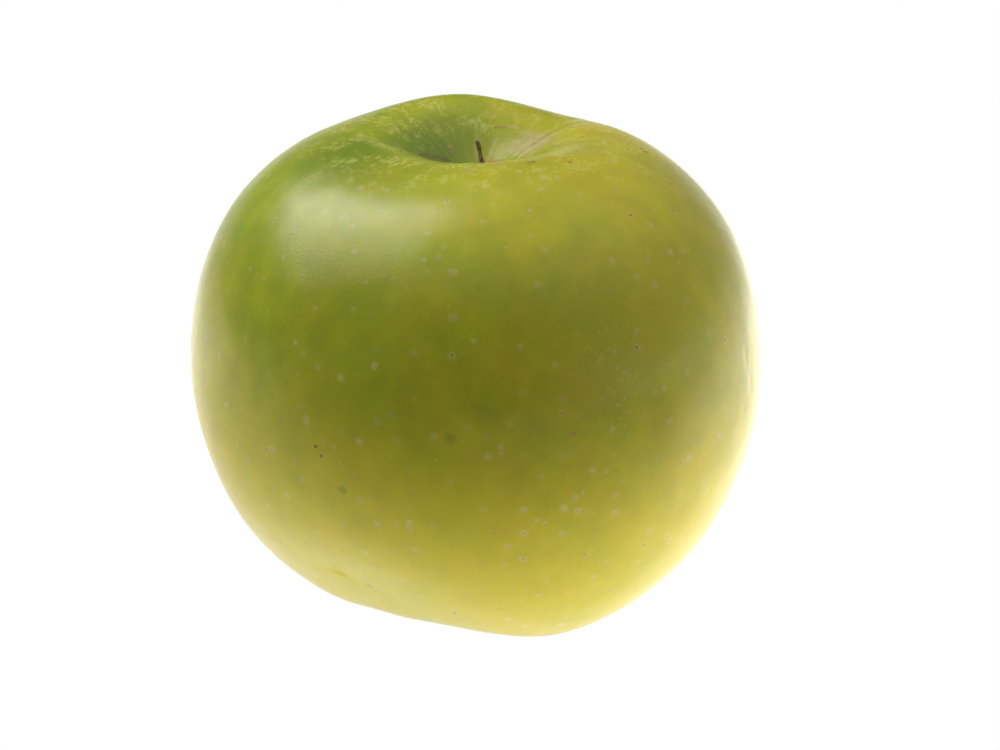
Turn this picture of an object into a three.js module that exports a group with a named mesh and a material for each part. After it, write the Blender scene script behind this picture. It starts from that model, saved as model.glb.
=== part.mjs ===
// A large green cooking apple, picked, standing on the lobed end that held the flower.
//
// Millimetres, +Z up. The origin lies on the surface that the apple stands on, under the middle of
// the fruit. Azimuths are counted in degrees from +X towards +Y.
//
// The apple is eight pieces. The fruit is one body of flesh and skin, with a bowl at the top for the
// stalk and a basin underneath for the dried flower. The withered stalk stands in the bowl. Five
// dried sepals and the tuft of dried stamens hang in the basin.

import * as THREE from 'three';
import { NURBSCurve } from 'three/addons/curves/NURBSCurve.js';
import { mergeVertices } from 'three/addons/utils/BufferGeometryUtils.js';

// ---------------------------------------------------------------- driving dimensions

const BELLY_RADIUS = 48; // pull of the outline at its widest
const BELLY_HEIGHT = 38.7;
const CROWN_RADIUS = 18.2; // the rounded rim of the stalk's bowl
const CROWN_HEIGHT = 75.2;
const BOWL_DEPTH = 6.8; // from the rim to the floor, where the stalk grows
const LIP_RADIUS = 8.5; // where the bowl turns steep
const LIP_DROP = 2.4;
const FOOT_RADIUS = 19; // the ring of toes that the apple stands on
const FOOT_LEVEL = -1; // where that ring is pressed flat
const EYE_RADIUS = 8; // the basin of the dried flower
const EYE_DEPTH = 9;
const AXIS_LEAN = [1.0, -0.5]; // how far the top of the core leans over

const RINGS = 60; // steps along the outline, from the basin to the bowl
const MERIDIANS = 64; // steps round the fruit
const POLE_RADIUS = 4; // inside this the swellings fade out, so that each pole stays one point
const GAP = 0.3; // between two pieces that touch

// The five lobes, one for each seed chamber inside: where each lies round the fruit, how far it
// lifts the crown, swells the belly and lowers the flank above the foot, and how well its toe bears.
const LOBES = [
  { azimuth: 103, crown: 3.1, belly: -1.3, heel: 0.5, toe: 1 },
  { azimuth: 183, crown: 1.9, belly: -1.0, heel: 2.2, toe: 1 },
  { azimuth: 232, crown: -0.8, belly: -2.3, heel: -4.5, toe: 0.2 },
  { azimuth: 303, crown: 1.0, belly: 2.4, heel: 2.1, toe: 1 },
  { azimuth: 25, crown: 1.1, belly: -4.5, heel: -0.7, toe: 1 },
];
const LOBE_SHARPNESS = 4.5;

// The two folds where the crown is drawn in between its lobes.
const FOLDS = [
  { azimuth: 48, depth: 0.9 },
  { azimuth: 186, depth: 0.7 },
];
const FOLD_SHARPNESS = 16;

// Under each lobe stands one toe, worn flat where the apple rests.
const TOE_WEAR = 0.35;
const TOE_SHARPNESS = 14;

// Where each swelling acts along the outline (0 at the basin, 1 at the bowl), and how widely.
const TOE = { at: 0.22, reach: 0.05 };
const HEEL = { at: 0.33, reach: 0.08 };
const BELLY = { at: 0.5, reach: 0.2 };
const CROWN = { at: 0.74, reach: 0.1 };
const FOLD = { at: 0.8, reach: 0.1 };

// The stalk: its course up from the floor of the bowl, and its radius at even steps along it.
const STALK_COURSE = [
  [0.45, 0, GAP],
  [0.65, 0.1, 1.5],
  [0.5, 0, 2.7],
  [0.2, -0.1, 4],
  [0.05, -0.1, 5.1],
  [-0.25, -0.05, 6],
];
const STALK_RADII = [1.3, 1.15, 0.9, 0.6, 0.43, 0.37, 0.38, 0.47, 0.4];
const STALK_SIDES = 12;
const STALK_STEPS = 20;

// The dried flower.
const SEPAL_COUNT = 5;
const SEPAL_WIDTH = 3.6; // at the root
const SEPAL_TIP = 0.12; // width of the tip as a share of the root's
const SEPAL_THICKNESS = 0.5;
const SEPAL_ROOT = { out: 3.2, down: 0.65 };
const SEPAL_WAIST = { out: 1.7, down: 4.6 };
const SEPAL_CURL = [
  { out: 4.4, down: 6.2 },
  { out: 3.4, down: 6.8 },
  { out: 4.9, down: 5.6 },
  { out: 3.9, down: 6.5 },
  { out: 4.6, down: 6.0 },
];
const STAMEN_OUTLINE = [
  [0, -5.4],
  [0.55, -5.2],
  [0.95, -4.1],
  [0.7, -2.6],
  [0.85, -1.3],
  [1.15, -GAP - 0.05],
  [0, -GAP - 0.05],
];
const STAMEN_COUNT = 8;
const STAMEN_RELIEF = 0.16;
const STAMEN_SIDES = 32;

// ---------------------------------------------------------------- shared helpers

const radians = THREE.MathUtils.degToRad;

// A smooth hill of height 1 along the outline.
function hill(t, { at, reach }) {
  return Math.exp(-(((t - at) / reach) ** 2));
}

// A smooth hill of height 1 round the fruit.
function roundHill(angle, azimuth, sharpness) {
  return Math.exp(-sharpness * (1 - Math.cos(angle - radians(azimuth))));
}

// The smooth curve that a chain of pull points draws.
function pulledCurve(pulls, steps) {
  const degree = 3;
  const spans = pulls.length - degree;
  const inner = Array.from({ length: spans - 1 }, (_, i) => (i + 1) / spans);
  const knots = [...Array(degree + 1).fill(0), ...inner, ...Array(degree + 1).fill(1)];
  const weighted = pulls.map(([x, y]) => new THREE.Vector4(x, y, 0, 1));
  const curve = new NURBSCurve(degree, knots, weighted);
  return curve.getPoints(steps).map((p) => new THREE.Vector2(Math.max(0, p.x), p.y));
}

// A turned solid that stands along +Z. Its outline runs from the bottom up, axis to axis.
function turned(outline, sides) {
  return new THREE.LatheGeometry(outline, sides).rotateX(Math.PI / 2);
}

// Moves every vertex of a geometry by a rule that is given the vertex and its number.
function reshape(geometry, rule) {
  const places = geometry.getAttribute('position');
  const point = new THREE.Vector3();
  for (let i = 0; i < places.count; i += 1) {
    point.fromBufferAttribute(places, i);
    rule(point, i);
    places.setXYZ(i, point.x, point.y, point.z);
  }
  return geometry;
}

// Joins vertices that fall on one point, so that the surface is closed.
function closed(geometry) {
  geometry.deleteAttribute('normal');
  geometry.deleteAttribute('uv');
  const merged = mergeVertices(geometry, 1e-3);
  merged.computeVertexNormals();
  return merged;
}

function piece(name, geometry, material) {
  const mesh = new THREE.Mesh(closed(geometry), material);
  mesh.name = name;
  return mesh;
}

// ---------------------------------------------------------------- materials

function waxySkin() {
  return new THREE.MeshStandardMaterial({ color: 0x8f9a33, roughness: 0.38, metalness: 0 });
}

function witheredStalk() {
  return new THREE.MeshStandardMaterial({ color: 0x4a3a28, roughness: 0.85, metalness: 0 });
}

function driedLeaf() {
  return new THREE.MeshStandardMaterial({ color: 0x6b5a3a, roughness: 0.9, metalness: 0 });
}

// ---------------------------------------------------------------- the fruit

// Half of the fruit's outline, from the roof of the basin, round the foot, the belly and the crown,
// to the floor of the bowl.
function fruitOutline() {
  const floor = CROWN_HEIGHT - BOWL_DEPTH;
  return pulledCurve(
    [
      [0, EYE_DEPTH],
      [EYE_RADIUS * 0.4, EYE_DEPTH],
      [EYE_RADIUS, EYE_DEPTH - 0.5],
      [EYE_RADIUS + 3.5, 0.5],
      [FOOT_RADIUS, FOOT_LEVEL - 0.2],
      [BELLY_RADIUS * 0.697, BELLY_HEIGHT * 0.186],
      [BELLY_RADIUS * 0.9, BELLY_HEIGHT * 0.532],
      [BELLY_RADIUS, BELLY_HEIGHT],
      [BELLY_RADIUS * 0.925, BELLY_HEIGHT * 1.512],
      [BELLY_RADIUS * 0.686, CROWN_HEIGHT - 4.1],
      [CROWN_RADIUS, CROWN_HEIGHT],
      [(CROWN_RADIUS + LIP_RADIUS) / 2, CROWN_HEIGHT - LIP_DROP * 0.6],
      [LIP_RADIUS, CROWN_HEIGHT - LIP_DROP],
      [LIP_RADIUS * 0.54, floor + 0.4],
      [0, floor],
    ],
    RINGS,
  );
}

// Moves one point of the plainly turned fruit out to its lobes, folds, toes and lean.
function grow(point, angle, t) {
  const radius = Math.hypot(point.x, point.y);
  const fade = Math.min(1, radius / POLE_RADIUS) ** 2;
  let out = 0;
  let up = 0;
  let toe = 0;
  for (const lobe of LOBES) {
    const share = fade * roundHill(angle, lobe.azimuth, LOBE_SHARPNESS);
    out += share * lobe.belly * hill(t, BELLY);
    up += share * (lobe.crown * hill(t, CROWN) - lobe.heel * hill(t, HEEL));
    toe += lobe.toe * roundHill(angle, lobe.azimuth, TOE_SHARPNESS) * hill(t, TOE);
  }
  for (const fold of FOLDS) {
    up -= fade * fold.depth * roundHill(angle, fold.azimuth, FOLD_SHARPNESS) * hill(t, FOLD);
  }
  const swollen = point.z + up;
  const pressed = THREE.MathUtils.lerp(swollen, FOOT_LEVEL - TOE_WEAR, Math.min(1, toe));
  const lean = swollen / CROWN_HEIGHT;
  point.x = (radius + out) * Math.cos(angle) + AXIS_LEAN[0] * lean;
  point.y = (radius + out) * Math.sin(angle) + AXIS_LEAN[1] * lean;
  point.z = Math.max(pressed, FOOT_LEVEL);
}

function fruitGeometry() {
  const geometry = reshape(turned(fruitOutline(), MERIDIANS), (point, i) => {
    const ring = i % (RINGS + 1);
    const meridian = Math.floor(i / (RINGS + 1)) % MERIDIANS;
    grow(point, (meridian / MERIDIANS) * 2 * Math.PI - Math.PI / 2, ring / RINGS);
  });
  geometry.computeBoundingBox();
  const { min, max } = geometry.boundingBox;
  return geometry.translate(-(min.x + max.x) / 2, -(min.y + max.y) / 2, -min.z);
}

// ---------------------------------------------------------------- the stalk

function stalkGeometry() {
  const course = new THREE.CatmullRomCurve3(STALK_COURSE.map((p) => new THREE.Vector3(...p)));
  const thickness = new THREE.SplineCurve(STALK_RADII.map((r, i) => new THREE.Vector2(r, i)));
  const skin = thickness.getPoints(STALK_STEPS).map(({ x }, i) => {
    return new THREE.Vector2(x, i / STALK_STEPS);
  });
  const outline = [new THREE.Vector2(0, 0), ...skin, new THREE.Vector2(0, 1)];
  return reshape(turned(outline, STALK_SIDES), (point) => {
    const middle = course.getPoint(THREE.MathUtils.clamp(point.z, 0, 1));
    point.set(point.x + middle.x, point.y + middle.y, middle.z);
  });
}

// ---------------------------------------------------------------- the dried flower

// One leaflet, rooted in the roof of the basin out along +X, waisted inwards and curled out below.
function sepalGeometry(curl) {
  const course = new THREE.QuadraticBezierCurve(
    new THREE.Vector2(SEPAL_ROOT.out, -SEPAL_ROOT.down),
    new THREE.Vector2(SEPAL_WAIST.out, -SEPAL_WAIST.down),
    new THREE.Vector2(curl.out, -curl.down),
  );
  return reshape(new THREE.BoxGeometry(SEPAL_THICKNESS, SEPAL_WIDTH, 1, 1, 4, 10), (point) => {
    const along = 0.5 - point.z;
    const middle = course.getPoint(along);
    const taper = THREE.MathUtils.lerp(1, SEPAL_TIP, along ** 1.4);
    point.set(middle.x + point.x, point.y * taper, middle.y);
  });
}

// The stamens, dried together into one ribbed tuft.
function stamenGeometry() {
  const outline = STAMEN_OUTLINE.map(([radius, height]) => new THREE.Vector2(radius, height));
  return reshape(turned(outline, STAMEN_SIDES), (point) => {
    const angle = Math.atan2(point.y, point.x);
    const rib = 1 + STAMEN_RELIEF * Math.cos(STAMEN_COUNT * angle);
    point.set(point.x * rib, point.y * rib, point.z);
  });
}

// ---------------------------------------------------------------- the apple

const apple = new THREE.Group();

const body = fruitGeometry();
const eyeRoof = new THREE.Vector3().fromBufferAttribute(body.getAttribute('position'), 0);
const bowlFloor = new THREE.Vector3().fromBufferAttribute(body.getAttribute('position'), RINGS);
apple.add(piece('fruit', body, waxySkin()));

const stalk = piece('stalk', stalkGeometry(), witheredStalk());
stalk.position.copy(bowlFloor);
apple.add(stalk);

const driedFlower = new THREE.Group();
driedFlower.position.copy(eyeRoof);
for (let i = 0; i < SEPAL_COUNT; i += 1) {
  const sepal = piece(`sepal_${i + 1}`, sepalGeometry(SEPAL_CURL[i]), driedLeaf());
  sepal.rotation.z = (2 * Math.PI * i) / SEPAL_COUNT;
  driedFlower.add(sepal);
}
driedFlower.add(piece('stamens', stamenGeometry(), driedLeaf()));
apple.add(driedFlower);

export default apple;
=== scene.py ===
# %% [markdown]
# # A green cooking apple
# This lesson dresses a plain CAD apple in its real skin. The frame holds eight solids: the fruit,
# the withered stalk in its bowl, and under the fruit five dried sepals and a tuft of stamens.
# Each gets a finer mesh of its own on the same spot, and a material built from nodes.

# %% Load the frame
import math
import random

import bpy
import numpy as np
from mathutils import Matrix, Vector, noise
from mathutils.bvhtree import BVHTree


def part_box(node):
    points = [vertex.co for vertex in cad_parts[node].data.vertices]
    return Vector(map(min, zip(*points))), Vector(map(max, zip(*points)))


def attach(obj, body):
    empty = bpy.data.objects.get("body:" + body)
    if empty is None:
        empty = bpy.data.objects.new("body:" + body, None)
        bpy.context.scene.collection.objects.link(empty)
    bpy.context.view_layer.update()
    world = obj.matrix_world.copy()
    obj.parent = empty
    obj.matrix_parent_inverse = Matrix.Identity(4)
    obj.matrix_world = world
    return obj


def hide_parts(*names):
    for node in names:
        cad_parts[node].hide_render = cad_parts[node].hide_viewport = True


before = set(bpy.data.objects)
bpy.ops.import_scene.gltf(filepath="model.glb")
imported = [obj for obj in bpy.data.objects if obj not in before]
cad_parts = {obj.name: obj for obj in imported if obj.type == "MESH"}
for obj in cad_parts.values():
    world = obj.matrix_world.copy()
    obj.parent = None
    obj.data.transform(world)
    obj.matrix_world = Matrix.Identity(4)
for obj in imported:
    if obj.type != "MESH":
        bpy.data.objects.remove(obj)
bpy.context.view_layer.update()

MM = 0.001  # Blender works in metres, and an apple is easier to think of in millimetres
print("nodes:", sorted(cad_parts))

# %% [markdown]
# ## The fruit's surface
# An apple has no seams, so its skin is one closed grid of quads that runs from the roof of the
# basin underneath to the floor of the bowl on top. A subdivision surface over the CAD facets would
# pinch at their corners. Instead, rays are shot outwards from a ring inside the flesh, and each
# one stops at the CAD surface. From that ring every part of the skin can be seen, even the walls
# of the bowl and the basin, so no quad gets stretched.

# %% Find the core
MERIDIANS = 384
RINGS = 240

fruit_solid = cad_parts["fruit"]
solid_tree = BVHTree.FromPolygons(
    [v.co.copy() for v in fruit_solid.data.vertices],
    [tuple(p.vertices) for p in fruit_solid.data.polygons],
)
fruit_low, fruit_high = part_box("fruit")


def deepest_point(start_height, aim):
    """The bottom of the hollow that rays along the core meet, from above or from below."""
    reach = 3 * MM
    spots = np.linspace(-reach, reach, 31)
    hits = [
        solid_tree.ray_cast(Vector((x, y, start_height)), aim)[0] for x in spots for y in spots
    ]
    return min(hits, key=lambda hit: -hit.z * aim.z)


bowl_floor = deepest_point(fruit_high.z * 2, Vector((0, 0, -1)))
basin_roof = deepest_point(-fruit_high.z, Vector((0, 0, 1)))
print("bowl floor, mm:", [round(c / MM, 1) for c in bowl_floor])
print("basin roof, mm:", [round(c / MM, 1) for c in basin_roof])

# %% [markdown]
# The two deepest points fix the core. The ring of flesh lies round its middle, a little under
# half of the way out. A ray turns round that ring from the basin's roof, under the foot, past the
# belly and over the crown, down to the bowl's floor.

# %% Shoot the skin grid
FLESH_SHARE = 0.42  # of the way out from the core
flesh_radius = FLESH_SHARE * (fruit_high.x - fruit_low.x) / 2
flesh_height = 0.5 * fruit_high.z
core_middle = (bowl_floor + basin_roof) / 2

angle_round = np.arange(MERIDIANS) * 2 * math.pi / MERIDIANS
first_turn = math.atan2(-flesh_radius, flesh_height - basin_roof.z)
last_turn = math.atan2(-flesh_radius, flesh_height - bowl_floor.z) + 2 * math.pi
turns = np.linspace(first_turn, last_turn, RINGS + 1)

skin = np.zeros((RINGS + 1, MERIDIANS, 3))
for column, angle in enumerate(angle_round):
    outward = Vector((math.cos(angle), math.sin(angle), 0))
    seat = Vector((core_middle.x, core_middle.y, flesh_height)) + flesh_radius * outward
    for row in range(1, RINGS):
        ray = outward * math.sin(turns[row]) + Vector((0, 0, -math.cos(turns[row])))
        skin[row, column] = solid_tree.ray_cast(seat, ray)[0]
skin[0] = basin_roof
skin[-1] = bowl_floor
print("skin points:", skin.shape[0] * skin.shape[1])

# %% [markdown]
# The CAD solid is faceted, and a glossy skin would show every facet. A blur along both ways of the
# grid melts them. A blur also shrinks what is round, so the part of the shape that it took away is
# blurred once more and given back.


# %% Melt the facets
def blur(grid, passes_along, passes_round):
    """Averages each point with its neighbours. Over a pole the neighbour is across the hollow."""
    half = grid.shape[1] // 2
    for _ in range(passes_along):
        before = np.roll(grid[1], half, axis=0)[None]
        after = np.roll(grid[-2], half, axis=0)[None]
        tall = np.concatenate([before, grid, after])
        grid = 0.25 * tall[:-2] + 0.5 * tall[1:-1] + 0.25 * tall[2:]
    for _ in range(passes_round):
        grid = 0.25 * np.roll(grid, 1, 1) + 0.5 * grid + 0.25 * np.roll(grid, -1, 1)
    return grid


PASSES = (26, 34)  # along and round the grid, enough to melt facets of about 4 mm
melted = blur(skin, *PASSES)
skin = melted + blur(skin - melted, *PASSES)
skin[0] = skin[0].mean(0)
skin[-1] = skin[-1].mean(0)
skin[..., 2] = np.maximum(skin[..., 2], 0)
print("lowest point, mm:", round(skin[..., 2].min() / MM, 3))

# %% [markdown]
# Relief and colour both depend on where a point lies: its azimuth, its height, and its distances
# from the core and over the skin from the stalk. Relief also needs the normals.


# %% Normals and distances over the skin
def unit(vectors):
    return vectors / np.maximum(np.linalg.norm(vectors, axis=-1, keepdims=True), 1e-12)


def outward_normals(grid):
    along = np.gradient(grid, axis=0)
    around = np.roll(grid, -1, 1) - np.roll(grid, 1, 1)
    normals = unit(np.cross(around, along))
    normals[0] = unit(normals[1].mean(0))
    normals[-1] = unit(normals[-2].mean(0))
    return normals


def smooth_step(values, start, end):
    """0 before start, 1 after end, and an even slope between them. End may lie before start."""
    share = np.clip((values - start) / (end - start), 0, 1)
    return share * share * (3 - 2 * share)


normals = outward_normals(skin)
core_axis = np.array(bowl_floor - basin_roof)
climb = (skin[..., 2] - basin_roof.z) / core_axis[2]
on_core = np.array(basin_roof) + climb[..., None] * core_axis
from_core = np.linalg.norm((skin - on_core)[..., :2], axis=-1) / MM
height = skin[..., 2] / MM
azimuth = np.broadcast_to(angle_round, height.shape)
step_lengths = np.linalg.norm(np.diff(skin, axis=0), axis=-1) / MM
from_stalk = np.concatenate([np.cumsum(step_lengths[::-1], 0)[::-1], np.zeros((1, MERIDIANS))])
upper = smooth_step(height, 50, 60)
print("from stalk to flower over the skin, mm:", round(from_stalk.max(), 1))

# %% [markdown]
# ## The relief
# Apple skin is never true. It swells and sinks a little as the flesh grew, it is drawn into fine
# pleats where it dives into the bowl and the basin, and it keeps dents and cracks from its months
# on the tree. Each of these is a height in millimetres, and all of them together move the grid
# along its normals.


# %% Pleats and swellings
def waves_round(angles, counts, seed):
    """A wave round the fruit that never repeats: several plain waves of random strength."""
    draw = random.Random(seed)
    total = np.zeros_like(angles)
    for count in counts:
        total = total + draw.uniform(0.4, 1) * np.cos(count * angles + draw.uniform(0, 2 * math.pi))
    return total / math.sqrt(len(counts))


def hill_at(angles, degrees, width):
    """A hill of height 1 round the fruit. Width is in degrees."""
    away = (np.degrees(angles) - degrees + 180) % 360 - 180
    return np.exp(-((away / width) ** 2))


WIDE_SWELL, WIDE_HEIGHT = 14, 0.16  # mm
FINE_SWELL, FINE_HEIGHT = 5, 0.05  # mm
swelling = np.zeros_like(height)
for row in range(RINGS + 1):
    for column in range(MERIDIANS):
        spot = Vector(skin[row, column] / MM)
        wide = WIDE_HEIGHT * noise.noise(spot / WIDE_SWELL)
        swelling[row, column] = wide + FINE_HEIGHT * noise.noise(spot / FINE_SWELL)

bowl_wall = upper * smooth_step(from_core, 3, 9) * smooth_step(from_core, 19, 8)
basin_wall = smooth_step(height, 12, 6) * smooth_step(from_core, 14, 9) * smooth_step(from_core, 3, 6)
PLEAT_HEIGHT, PUCKER_HEIGHT = 0.09, 0.35  # mm
pleats = PLEAT_HEIGHT * bowl_wall * waves_round(azimuth, range(9, 34, 3), seed=4)
pleats *= 1 - 0.8 * hill_at(azimuth, 68, 18)  # the back of the bowl is smoother
puckers = PUCKER_HEIGHT * basin_wall * waves_round(azimuth, (5, 10, 15, 19), seed=9)
swelling *= 1 - smooth_step(height, 1.2, 0.2)  # the toes stay flat where they stand
print("swelling, mm:", round(swelling.min(), 2), "to", round(swelling.max(), 2))

# %% [markdown]
# The two folds of the crown are sharper than the pleats: a narrow crease sits in each. Low on the
# front is an old dent with a raised lip, from a twig, and on the right flank are short upright
# cracks, where the skin stopped stretching before the flesh did.


# %% Creases, dent and cracks
def crease(degrees, width, depth, start, end):
    """A narrow groove up the skin, between two distances from the core, in mm."""
    band = smooth_step(from_core, start, start + 3) * smooth_step(from_core, end, end - 5)
    return -depth * upper * band * hill_at(azimuth, degrees, width)


creases = crease(184, 7, 0.5, 4, 22) + crease(199, 4, 0.15, 6, 18)
creases += crease(30, 4.5, 0.16, 5, 22) + crease(41, 4, 0.14, 11, 24) + crease(53, 5, 0.14, 13, 24)


def beside(mark_at, heading):
    """Distances along and across a mark on the skin, in mm. Heading is in degrees from upright."""
    spot_azimuth, spot_height = mark_at
    away = (np.degrees(azimuth) - spot_azimuth + 180) % 360 - 180
    across = np.radians(away) * from_core
    rise = height - spot_height
    turn = math.radians(heading)
    along = rise * math.cos(turn) + across * math.sin(turn)
    aside = across * math.cos(turn) - rise * math.sin(turn)
    return along, aside


def scratch(mark_at, heading, length, width, depth):
    """A short groove at an azimuth and a height. The other sizes are in mm."""
    along, aside = beside(mark_at, heading)
    return -depth * np.exp(-((along / length) ** 2) - (aside / width) ** 2)


dent = scratch((227, 12.2), 110, 1.3, 0.6, 0.4) - scratch((227.5, 13.4), 110, 1.3, 0.5, 0.15)
CRACK_WIDTH, CRACK_DEPTH = 0.45, 0.14  # mm
cracks = np.zeros_like(height)
for crack_azimuth, crack_height, crack_length in ((331, 47, 1.6), (333, 43, 2.0), (329.5, 39, 1.2)):
    cracks += scratch((crack_azimuth, crack_height), 4, crack_length, CRACK_WIDTH, CRACK_DEPTH)
relief = swelling + pleats + puckers + creases + dent + cracks
print("relief, mm:", round(relief.min(), 2), "to", round(relief.max(), 2))

# %% [markdown]
# ## From grids to meshes
# Every piece of this apple is a closed grid, so one helper turns any of them into an object. It
# also says which body the object rides on and which CAD node it stands for.


# %% Mesh helpers
def ring_faces(grid, offset):
    """Points and faces of one closed piece of skin. The grid's first and last rows are its tips."""
    rows, columns = grid.shape[:2]
    inner = grid[1:-1].reshape(-1, 3)
    points = [tuple(p) for p in inner] + [tuple(grid[0].mean(0)), tuple(grid[-1].mean(0))]
    start_tip, end_tip = offset + len(inner), offset + len(inner) + 1
    last_ring = (rows - 3) * columns
    faces = []
    for column in range(columns):
        here, beyond = offset + column, offset + (column + 1) % columns
        faces.append((start_tip, beyond, here))
        for row in range(rows - 3):
            low, high = row * columns, (row + 1) * columns
            faces.append((here + low, beyond + low, beyond + high, here + high))
        faces.append((here + last_ring, beyond + last_ring, end_tip))
    return points, faces


def new_piece(name, grids, replaced):
    """One object from closed grids. It rides with the apple and stands for one CAD node."""
    points, faces = [], []
    for grid in grids:
        more_points, more_faces = ring_faces(grid, len(points))
        points += more_points
        faces += more_faces
    mesh = bpy.data.meshes.new(name)
    mesh.from_pydata(points, [], faces)
    mesh.validate()
    mesh.shade_smooth()
    piece = bpy.data.objects.new(name, mesh)
    bpy.context.scene.collection.objects.link(piece)
    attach(piece, "root")
    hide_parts(replaced)
    print(name, "faces:", len(mesh.polygons))
    return piece


# %% [markdown]
# Relief moves each point along its normal, but never below the surface that the apple stands on.

# %% Build the fruit
skin_shaped = skin + normals * (relief * MM)[..., None]
skin_shaped[..., 2] = np.maximum(skin_shaped[..., 2], 0)
fruit = new_piece("apple_skin", [skin_shaped], "fruit")
skin_tree = BVHTree.FromPolygons(
    [v.co.copy() for v in fruit.data.vertices],
    [tuple(p.vertices) for p in fruit.data.polygons],
)

# %% [markdown]
# ## Where the skin is green and where it is gold
# A green apple ripens from below and on its sunny side. Two masks hold that: ripeness turns the
# hue from green to gold, and paleness turns the tone from the deep belt round the belly to the
# milky foot. Paleness also holds painted light on the flanks and painted shade on the front and in
# the bowl. The masks are painted on the mesh's points, because they are wide and soft. Everything
# finer than a millimetre is left to the material.


# %% Paint ripeness and paleness
def paint(piece, name, values):
    """Writes grid values as a mask, in the order of the mesh's points: rings first, then tips."""
    ordered = np.concatenate([values[1:-1].reshape(-1), [values[0].mean(), values[-1].mean()]])
    mask = piece.data.attributes.new(name, "FLOAT", "POINT")
    mask.data.foreach_set("value", np.clip(ordered, 0, 1).astype(np.float32))
    print("mask", name, "reaches", round(float(ordered.max()), 2))


SUNNY_SIDE = math.radians(345)
sunniness = np.cos(azimuth - SUNNY_SIDE) * smooth_step(from_core, 0, 20)
# The foot's gold climbs higher beside and behind the apple than on its front. The extra height on
# the sides is painted light, and the front is kept darker as painted shade.
painted_side_glow = 1 - hill_at(azimuth, 276, 46)
foot = smooth_step(height, 50 + 8 * painted_side_glow, 17 + 4 * painted_side_glow)
far_left = hill_at(azimuth, 178, 32) * smooth_step(height, 70, 50)
ripeness = 0.36 + 0.33 * sunniness * (1 - 0.6 * foot) + 0.4 * foot + 0.5 * far_left
lobes_tone = 0.05 * waves_round(azimuth, (3, 4, 7), seed=2)
shoulder = smooth_step(height, 60, 72) * (0.35 + 0.65 * smooth_step(from_core, 5, 15))
right_shoulder = hill_at(azimuth, 352, 26)
right_shoulder = right_shoulder * smooth_step(height, 54, 62) * smooth_step(height, 76, 70)
# Painted light: the flanks, away from the front, are paler below the shoulder.
painted_flank_light = smooth_step(np.cos(azimuth - math.radians(268)), 0.65, 0.1) * smooth_step(height, 66, 50)
paleness = 0.04 + 0.96 * foot + (0.28 + 0.14 * sunniness) * shoulder
# Painted shade: the tone is darker deep in the bowl, except on its russeted right wall.
painted_bowl_shade = upper * smooth_step(from_core, 17, 7)
paleness -= 0.4 * painted_bowl_shade * smooth_step(np.cos(azimuth - math.radians(33)), 0.95, 0.5)
paleness += lobes_tone + 0.3 * painted_flank_light * (1 - foot) - 0.5 * right_shoulder
paint(fruit, "ripeness", ripeness)
paint(fruit, "paleness", paleness)

# %% [markdown]
# The bowl is painted too. Its left and back wall, and the left shoulder below the fold, get painted
# shade in deep green. Its right wall is russeted: there the skin broke as it grew, and healed with a
# thin tan cork.
# A net of fine pale cork spreads from the bowl over the crown.

# %% Paint the bowl and the crown
# Painted shade: this mask darkens the bowl's left and back wall, and the left shoulder below the fold.
shaded_wall = upper * smooth_step(from_core, 18, 8) * hill_at(azimuth, 155, 66)
russet_band = smooth_step(from_core, 6, 9) * smooth_step(from_core, 16, 10)
russet_wall = upper * russet_band * hill_at(azimuth, 33, 24)
crown_net = upper * smooth_step(from_core, 31, 19) * smooth_step(from_core, 6, 14)
left_shoulder_shade = upper * hill_at(azimuth, 208, 26) * smooth_step(from_core, 14, 20)
left_shoulder_shade *= smooth_step(from_core, 34, 24)
degrees_round = np.degrees(azimuth)
# The left fold bends outwards as it climbs: its distance from the core at four azimuths.
fold_line = np.interp(degrees_round, (141, 167, 203, 215), (5.8, 7.6, 11, 12.5))
left_fold = np.exp(-(((from_core - fold_line) / 1.3) ** 2)) * smooth_step(degrees_round, 128, 145)
left_fold *= smooth_step(degrees_round, 222, 206)
right_fold = 0.84 * smooth_step(from_core, 7, 10) * smooth_step(from_core, 20, 14)
right_fold = right_fold * hill_at(azimuth, 31, 5)
paint(fruit, "shaded_wall", np.maximum(shaded_wall, 0.8 * left_shoulder_shade))
paint(fruit, "russet_wall", russet_wall)
paint(fruit, "crown_net", crown_net)
paint(fruit, "foot", smooth_step(height, 40, 8))
paint(fruit, "folds", upper * np.maximum(left_fold, right_fold))
scurf_band = smooth_step(height, 36, 42) * smooth_step(height, 62, 54)
paint(fruit, "scurf", scurf_band * hill_at(azimuth, 296, 6))

# %% [markdown]
# Streaks run from the stalk to the flower, so their texture needs coordinates that follow the
# meridians: the two parts of the direction round the fruit, and the distance over the skin.

# %% Lay meridian coordinates
laid = np.stack([np.cos(azimuth), np.sin(azimuth), from_stalk], -1)
laid_points = np.concatenate([laid[1:-1].reshape(-1, 3), laid[:1].mean(1), laid[-1:].mean(1)])
meridians = fruit.data.attributes.new("meridians", "FLOAT_VECTOR", "POINT")
meridians.data.foreach_set("vector", laid_points.astype(np.float32).reshape(-1))

# %% [markdown]
# ## Materials
# Two small helpers serve every material. One turns the sRGB hex value of a colour into the linear
# light that the shader works in. The other adds a node, sets it up and feeds it in one line.


# %% Colour and node helpers
def linear(hex_value):
    """sRGB hex to linear RGBA."""
    channels = [int(hex_value[i : i + 2], 16) / 255 for i in (1, 3, 5)]
    light = [c / 12.92 if c <= 0.04045 else ((c + 0.055) / 1.055) ** 2.4 for c in channels]
    return (*light, 1.0)


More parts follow.
